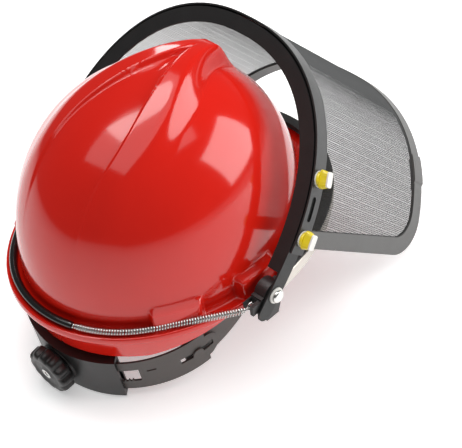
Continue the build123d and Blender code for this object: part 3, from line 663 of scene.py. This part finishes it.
# ---------------------------------------------------------------- visor

VISOR_U = Vector((1, 0, 0))
VISOR_V = Vector((0, -math.cos(ARCH_TILT), math.sin(ARCH_TILT)))
VISOR_W = Vector((0, -math.sin(ARCH_TILT), -math.cos(ARCH_TILT)))


def arch_point(u, v, w):
    """A point given in the arch's own tilted frame."""
    return ARCH_CENTRE + u * VISOR_U + v * VISOR_V + w * VISOR_W


def visor_point(u, v, w):
    """A point of the sheet: (u, v) on the arch, carried w along the mesh's own direction."""
    return arch_point(u, v - MESH_DROOP * (w - DROOP_START), w)


def arch_samples(offset, count):
    """Evenly spaced points of the arch, right foot to left foot: (u, v, outward u, outward v)."""
    half_width, depth = ARCH_HALF_WIDTH + offset, ARCH_DEPTH + offset
    raw = []
    for k in range(2001):
        angle = math.pi * k / 2000
        u = -math.copysign(abs(math.cos(angle)) ** (2 / ARCH_POWER), math.cos(angle)) * half_width
        v = abs(math.sin(angle)) ** (2 / ARCH_POWER) * depth
        raw.append(Vector((u, v, 0)))
    line, _ = resample(raw, 0.5)
    picked = [line[round(k * (len(line) - 1) / (count - 1))] for k in range(count)]
    out = []
    for p in picked:
        n = Vector((
            math.copysign((abs(p.x) / half_width) ** (ARCH_POWER - 1) / half_width, p.x),
            (p.y / depth) ** (ARCH_POWER - 1) / depth,
        )).normalized()
        out.append((p.x, p.y, n.x, n.y))
    return out


def sheet_edge(inset, count):
    """Edge of the visor sheet in (v, w) from its near corner to its free edge, drawn in by inset."""
    near = Vector((MESH_SIDE_V + inset, 2.0))
    far = Vector((MESH_SIDE_V + inset + MESH_SIDE_RISE * MESH_DEPTH, MESH_DEPTH - inset))
    radius = MESH_CORNER_RADIUS - 0.75 * inset
    along = (far - near).normalized()
    half = math.acos(max(-1.0, min(1.0, -along.x))) / 2
    cut = radius / math.tan(half)
    start, end = far - cut * along, far + Vector((cut, 0))
    centre = end - Vector((0, radius))
    first = math.atan2(start.y - centre.y, start.x - centre.x)
    if first < 0:
        first += 2 * math.pi
    edge = [near.lerp(start, k / count) for k in range(count)]
    for k in range(count + 1):
        angle = first + (math.pi / 2 - first) * k / count
        edge.append(centre + radius * Vector((math.cos(angle), math.sin(angle))))
    return edge


def trim_limit(edge, v):
    """How far along w a sheet with this edge goes at the height v."""
    if v <= edge[0].x:
        return 0.0
    if v >= edge[-1].x:
        return edge[-1].y
    for a, b in zip(edge[:-1], edge[1:]):
        if a.x <= v <= b.x and b.x > a.x:
            return a.y + (b.y - a.y) * (v - a.x) / (b.x - a.x)
    return edge[-1].y


def make_wires():
    """Woven wire sheet: wires along w, and hoops that follow the arch, one set over the other.
    Each point's height on the sheet is the arch's height less the droop."""
    tri = circle(WIRE_RADIUS, 3)
    edge = sheet_edge(2.5, 12)
    arch_length = resample([Vector((u, v, 0)) for u, v, _, _ in arch_samples(MESH_OFFSET, 400)], 1.0)[1]
    shapes = []
    for u, v, nu, nv in arch_samples(MESH_OFFSET, int(arch_length / MESH_PITCH)):
        out = nu * VISOR_U + nv * VISOR_V
        along = (visor_point(u, v, 1) - visor_point(u, v, 0)).normalized()
        reach = 0.0
        for w in range(WIRE_START, int(MESH_DEPTH), 2):
            if w < trim_limit(edge, v - MESH_DROOP * (w - DROOP_START)):
                reach = w
        if reach > 6:
            places = [(visor_point(u, v, w), along.cross(out), out) for w in (WIRE_START, reach)]
            shapes.append(sweep(places, tri))
    samples = arch_samples(MESH_OFFSET, 90)
    for k in range(int((MESH_DEPTH - 5) / MESH_PITCH)):
        w = WIRE_START + k * MESH_PITCH
        places = []
        for u, v, nu, nv in samples:
            if w < trim_limit(edge, v - MESH_DROOP * (w - DROOP_START)):
                out = nu * VISOR_U + nv * VISOR_V
                places.append((visor_point(u, v, w) + 0.3 * out, out, VISOR_W))
        if len(places) > 2:
            shapes.append(sweep(places, tri))
    mesh_piece("wire_mesh", *join_shapes(*shapes), "visor", "mesh_steel", MESH, ("visor_mesh",), smooth=100)


def make_knobs():
    """Quick-turn knobs on the wearer's right: a round foot, a ribbed grip and a pale dished cap."""
    for level, height in KNOB_HEIGHTS.items():
        half_width, depth = ARCH_HALF_WIDTH + ARCH_OUTER, ARCH_DEPTH + ARCH_OUTER
        u = half_width * (1 - (height / depth) ** ARCH_POWER) ** (1 / ARCH_POWER)
        normal = Vector((
            -(u ** (ARCH_POWER - 1)) / half_width**ARCH_POWER, height ** (ARCH_POWER - 1) / depth**ARCH_POWER,
        )).normalized()
        out = normal.x * VISOR_U + normal.y * VISOR_V
        foot = arch_point(-u, height, KNOB_W)
        axes = (VISOR_W, out.cross(VISOR_W), out)
        disc = lathe([(2.1, 3.5), (5.8, 3.5), (6.0, 3.7), (6.0, 5.1), (5.7, 5.5), (2.1, 5.5)], foot, out, 48)
        sizes = [(5.3, 4.0, 7.0), (5.5, 4.4, 7.4), (5.9, 4.5, 7.5), (8.0, 4.1, 6.9), (10.6, 3.5, 6.1),
                 (11.2, 3.35, 5.95), (11.5, 3.0, 5.6)]
        grip = stack(foot, axes, [(h, soft_box(x, y, 0.3)) for h, x, y in sizes])
        mesh_piece(f"knob_grip_{level}", *join_shapes(disc, grip), f"visor_knob_{level}", "knob_yellow",
                   YELLOW, (f"visor_knob_{level}",), smooth=50)
        sizes = [(11.5, 3.2, 5.8), (11.6, 3.6, 6.2), (12.5, 3.6, 6.2), (12.9, 3.4, 6.0), (13.0, 3.0, 5.6),
                 (12.8, 2.5, 5.1), (12.7, 1.6, 4.0)]
        cap = stack(foot, axes, [(h, soft_box(x, y)) for h, x, y in sizes])
        mesh_piece(f"knob_end_{level}", *cap, f"visor_knob_{level}", "pale_washer", NYLON,
                   (f"knob_cap_{level}",), smooth=50)


# ---------------------------------------------------------------- harness

def harness_point(x, y, z):
    """A point given in the harness's own tipped frame."""
    c, s = math.cos(HARNESS_TIP), math.sin(HARNESS_TIP)
    return HARNESS_CENTRE + Vector((x, y * c - z * s, y * s + z * c))


def make_ratchet_knob():
    """Knob with twelve rounded lobes, a dished face and the spindle behind it."""
    def lobed(radius, depth):
        outline = []
        for k in range(192):
            angle = 2 * math.pi * k / 192
            r = radius - depth * (0.5 - 0.5 * math.cos(12 * angle)) ** 1.6
            outline.append((r * math.cos(angle), r * math.sin(angle)))
        return outline

    levels = [(90.2, 4, 0), (94, 4, 0), (94.05, 14.8, 0), (96, 15, 0), (96.05, 19.5, 1.4), (96.5, 21, 2.2),
              (97.4, 21.5, 2.5), (104.2, 21.3, 2.5), (106.2, 20.6, 2.3), (107.3, 19.4, 2), (107.9, 17.6, 1.2),
              (108, 15.8, 0.4), (107.8, 14.6, 0), (107.1, 13.6, 0), (106.9, 12.4, 0), (107.0, 7.4, 0),
              (107.5, 6.6, 0), (107.6, 5.6, 0), (107.3, 5.2, 0), (105.9, 5.1, 0)]
    centre = harness_point(0, 0, 0)
    out = harness_point(0, 1, 0) - centre
    axes = (harness_point(1, 0, 0) - centre, harness_point(0, 0, 1) - centre, out)
    shape = stack(centre, axes, [(h, lobed(r, d)) for h, r, d in levels])
    mesh_piece("ratchet_knob_moulding", *shape, "ratchet", "black_plastic", BLACK, ("ratchet_knob",),
               smooth=38)


def puffed(name, points, faces, voxel, cap, keep_face):
    """A closed form filled out by cloth simulation. Points move no further than cap, in mm, and
    keep_face(point, move) may trim a move. Returns the finished points and faces in millimetres."""
    mesh = bpy.data.meshes.new(name)
    mesh.from_pydata([[c * MM for c in point] for point in points], [], faces)
    obj = bpy.data.objects.new(name, mesh)
    scene.collection.objects.link(obj)
    tidy_mesh(obj, 180)
    modifier = obj.modifiers.new("even", "REMESH")
    modifier.mode = "VOXEL"
    modifier.voxel_size = voxel * MM
    graph = bpy.context.evaluated_depsgraph_get()
    even = bpy.data.meshes.new_from_object(obj.evaluated_get(graph))
    obj.modifiers.clear()
    obj.data = even
    start = np.array([v.co[:] for v in even.vertices])
    cloth = obj.modifiers.new("cloth", "CLOTH")
    cloth.settings.use_pressure = True
    cloth.settings.uniform_pressure_force = 4.0
    cloth.settings.quality = 4
    cloth.settings.mass = 0.2
    cloth.settings.effector_weights.gravity = 0.0
    cloth.point_cache.frame_start = 1
    cloth.point_cache.frame_end = 20
    for frame_number in range(1, 21):
        scene.frame_set(frame_number)
    graph = bpy.context.evaluated_depsgraph_get()
    result = bpy.data.meshes.new_from_object(obj.evaluated_get(graph))
    end = np.array([v.co[:] for v in result.vertices])
    scene.frame_set(1)
    finished = []
    for before, after in zip(start / MM, end / MM):
        place, move = Vector(before), Vector(after - before)
        if move.length > cap:
            move = move.normalized() * cap
        finished.append(place + keep_face(place, move))
    faces = [tuple(p.vertices) for p in even.polygons]
    bpy.data.objects.remove(obj)
    return finished, faces


def subdivide(obj):
    """One level of subdivision, applied."""
    modifier = obj.modifiers.new("finer", "SUBSURF")
    modifier.levels = modifier.render_levels = 1
    graph = bpy.context.evaluated_depsgraph_get()
    finer = bpy.data.meshes.new_from_object(obj.evaluated_get(graph))
    obj.modifiers.clear()
    obj.data = finer


def make_sweatband():
    """Brow pad: cloth over foam inside the front of the headband, with sewn cross channels."""
    radius, reach = 81.8, 119.6
    section = rounded_box((-4.2, -15.6), (-0.4, 15.6), 1.2, 3)
    places = []
    first = math.asin(57 / reach)
    for k in range(121):
        angle = math.pi + first + (math.pi - 2 * first) * k / 120
        x, y = radius * math.cos(angle), reach * math.sin(angle)
        out = Vector((math.cos(angle) / radius, math.sin(angle) / reach)).normalized()
        origin = harness_point(x, y, 0)
        outward = harness_point(x + out.x, y + out.y, 0) - origin
        places.append((origin, outward, harness_point(x, y, 1) - origin))
    points, faces = sweep(places, section)
    middle = harness_point(0, 0, 0)

    def inward(place, move):
        local = place - middle
        out = Vector((local.x / radius**2, local.y / reach**2, 0)).normalized()
        depth = math.hypot(local.x / radius, local.y / reach)
        outward = max(0.0, move.dot(out)) if depth > 0.975 else 0.0
        return move - outward * out

    points, faces = puffed("sweatband_form", points, faces, 1.6, 1.4, inward)
    sewn = []
    for place in points:
        local = place - middle
        turn = math.degrees(math.atan2(local.x / radius, -local.y / reach))
        inner = 1 - ramp(0.955, 0.985, math.hypot(local.x / radius, local.y / reach))
        channel = math.exp(-((((turn + 7.5) % 15) - 7.5) / 0.9) ** 2)
        out = Vector((local.x / radius**2, local.y / reach**2, 0)).normalized()
        sewn.append(place + 1.1 * channel * inner * out)
    obj = mesh_piece("sweatband_cloth", sewn, faces, "helmet", "pad_foam", FOAM, ("sweatband",), smooth=180)
    subdivide(obj)


def make_crown_pad():
    """Round pad under the crossing of the crown straps, stitched round its rim."""
    centre = Vector((0, SHELL_CENTRE_Y, CROWN_PAD_Z))
    profile = [(0.01, -1.1), (21.0, -1.1), (22.3, -0.4), (22.3, 0.4), (21.0, 1.1), (0.01, 1.1)]
    points, faces = lathe(profile, centre, Vector((0, 0, 1)), 72)

    def level_top(place, move):
        return Vector((move.x, move.y, min(move.z, 0.2)))

    points, faces = puffed("crown_pad_form", points, faces, 1.0, 1.3, level_top)
    sewn = []
    for place in points:
        ring = math.exp(-(((place - centre).xy.length - 18.6) / 0.9) ** 2)
        sewn.append(place + Vector((0, 0, 0.7 * ring * (1 if place.z < centre.z else -0.4))))
    obj = mesh_piece("crown_pad_cloth", sewn, faces, "helmet", "pad_foam", FOAM, ("crown_pad",), smooth=180)
    subdivide(obj)


def make_crown_straps():
    """Two webbing straps over the head with thick selvedges, and their stitched ends."""
    section = [(-9.0, 0.25), (-8.9, 1.3), (-8.2, 1.5), (-7.6, 1.25), (7.6, 1.25), (8.2, 1.5), (8.9, 1.3),
               (9.0, 0.25), (8.8, 0.0), (-8.8, 0.0)]
    for name, direction, rise in (("lower", (60, 85), 0.0), ("upper", (-60, 85), 3.0)):
        along = Vector((*direction, 0)).normalized()
        across = along.cross(Vector((0, 0, 1)))
        inner, high = CROWN_HALF_SPAN, CROWN_RISE + rise
        first = math.asin(3.4 / high)
        places = []
        for k in range(161):
            angle = first + (math.pi - 2 * first) * k / 160
            out = (math.cos(angle) / inner * along + math.sin(angle) / high * Vector((0, 0, 1))).normalized()
            point = inner * math.cos(angle) * along + high * math.sin(angle) * Vector((0, 0, 1))
            places.append((point + Vector((0, SHELL_CENTRE_Y, 0)), across, out))
        band = sweep(places, section)
        mesh_piece(f"crown_strap_{name}_webbing", *band, "helmet", "webbing", WEBBING,
                   (f"crown_strap_{name}",), smooth=60)
        shapes = []
        for end in (range(4, 22, 2), range(138, 156, 2)):
            for k in end:
                origin, side, out = places[k]
                ahead = (places[k + 1][0] - places[k - 1][0]).normalized()
                for offset in (-6.4, 6.4):
                    middle = origin + offset * side + 1.3 * out
                    line = [middle + t * ahead + (0.25 - abs(t) / 4.8) * out for t in (-1.2, -0.4, 0.4, 1.2)]
                    shapes.append(sweep(along_path(line, out), circle(0.28, 6)))
        mesh_piece(f"crown_strap_{name}_stitches", *join_shapes(*shapes), "helmet", "webbing", THREAD,
                   smooth=180)


make_shell()
make_spring()
make_sleeve()
make_hooks()
make_carrier()
make_wires()
make_knobs()
make_ratchet_knob()
make_sweatband()
make_crown_pad()
make_crown_straps()
finish_cad_nodes()


# ---------------------------------------------------------------- floor, light and camera

def area_light(name, place, target, size, power):
    """White rectangular light at place, turned to face target; size in metres, power in watts."""
    data = bpy.data.lights.new(name, "AREA")
    data.shape = "RECTANGLE"
    data.size, data.size_y = size
    data.energy = power
    light = bpy.data.objects.new(name, data)
    light.location = place
    light.rotation_mode = "QUATERNION"
    light.rotation_quaternion = (Vector(target) - Vector(place)).to_track_quat("-Z", "Y")
    scene.collection.objects.link(light)


def around(azimuth, elevation, distance):
    """A point at a bearing and a distance from the origin: 0 is the -Y side, and 90 the +X side."""
    a, e = math.radians(azimuth), math.radians(elevation)
    return Vector((math.sin(a) * math.cos(e), -math.cos(a) * math.cos(e), math.sin(e))) * distance


def make_stage():
    """Plain pale floor just under the object."""
    floor_z = cad_low.z - 0.0005
    mesh = bpy.data.meshes.new("floor")
    half = 6.0
    corners = [(-half, -half, floor_z), (half, -half, floor_z), (half, half, floor_z), (-half, half, floor_z)]
    mesh.from_pydata(corners, [], [(0, 1, 2, 3)])
    floor = bpy.data.objects.new("floor", mesh)
    scene.collection.objects.link(floor)
    material = bpy.data.materials.new("floor_white")
    material.use_nodes = True
    shader = material.node_tree.nodes["Principled BSDF"]
    shader.inputs["Base Color"].default_value = (0.95, 0.95, 0.95, 1)
    shader.inputs["Roughness"].default_value = 0.7
    shader.inputs["Emission Color"].default_value = (1, 1, 1, 1)
    shader.inputs["Emission Strength"].default_value = 0.42
    mesh.materials.append(material)


def make_light():
    """A dim room, a wide softbox overhead that whitens the floor, and softboxes whose reflections
    give the shell its highlights."""
    world = bpy.data.worlds.new("studio")
    scene.world = world
    world.use_nodes = True
    background = world.node_tree.nodes["Background"]
    background.inputs["Color"].default_value = (1.0, 1.0, 1.0, 1.0)
    background.inputs["Strength"].default_value = 0.12
    area_light("front_softbox", around(318, 24, 1.5), (0, 0, 0.06), (1.05, 0.95), 15)
    area_light("top_softbox", around(70, 74, 1.7), (0, 0, 0.05), (0.9, 0.6), 9)
    area_light("ceiling", (0, 0, 2.6), (0, 0, 0), (3.0, 3.0), 42)
    area_light("left_softbox", around(47, 29, 1.8), (0, 0, 0.05), (0.3, 0.6), 4)


def make_camera():
    """The camera behind the wearer's right shoulder, looking down, 1.35 m away and turned a little."""
    bearing, roll = math.radians(CAMERA_BEARING), math.radians(CAMERA_ROLL)
    back = around(CAMERA_BEARING, CAMERA_ELEVATION, 1)
    level = Vector((math.cos(bearing), math.sin(bearing), 0))
    up = back.cross(level)
    right = math.cos(roll) * level + math.sin(roll) * up
    upward = -math.sin(roll) * level + math.cos(roll) * up
    data = bpy.data.cameras.new("camera")
    data.lens = 128.45
    data.sensor_width = 36.0
    camera = bpy.data.objects.new("camera", data)
    place = (CAMERA_PLACE[0] * right + CAMERA_PLACE[1] * upward + CAMERA_PLACE[2] * back) * MM
    camera.matrix_world = Matrix((
        (right.x, upward.x, back.x, place.x),
        (right.y, upward.y, back.y, place.y),
        (right.z, upward.z, back.z, place.z),
        (0, 0, 0, 1),
    ))
    scene.collection.objects.link(camera)
    scene.camera = camera


make_stage()
make_light()
make_camera()
scene.view_settings.view_transform = "Standard"
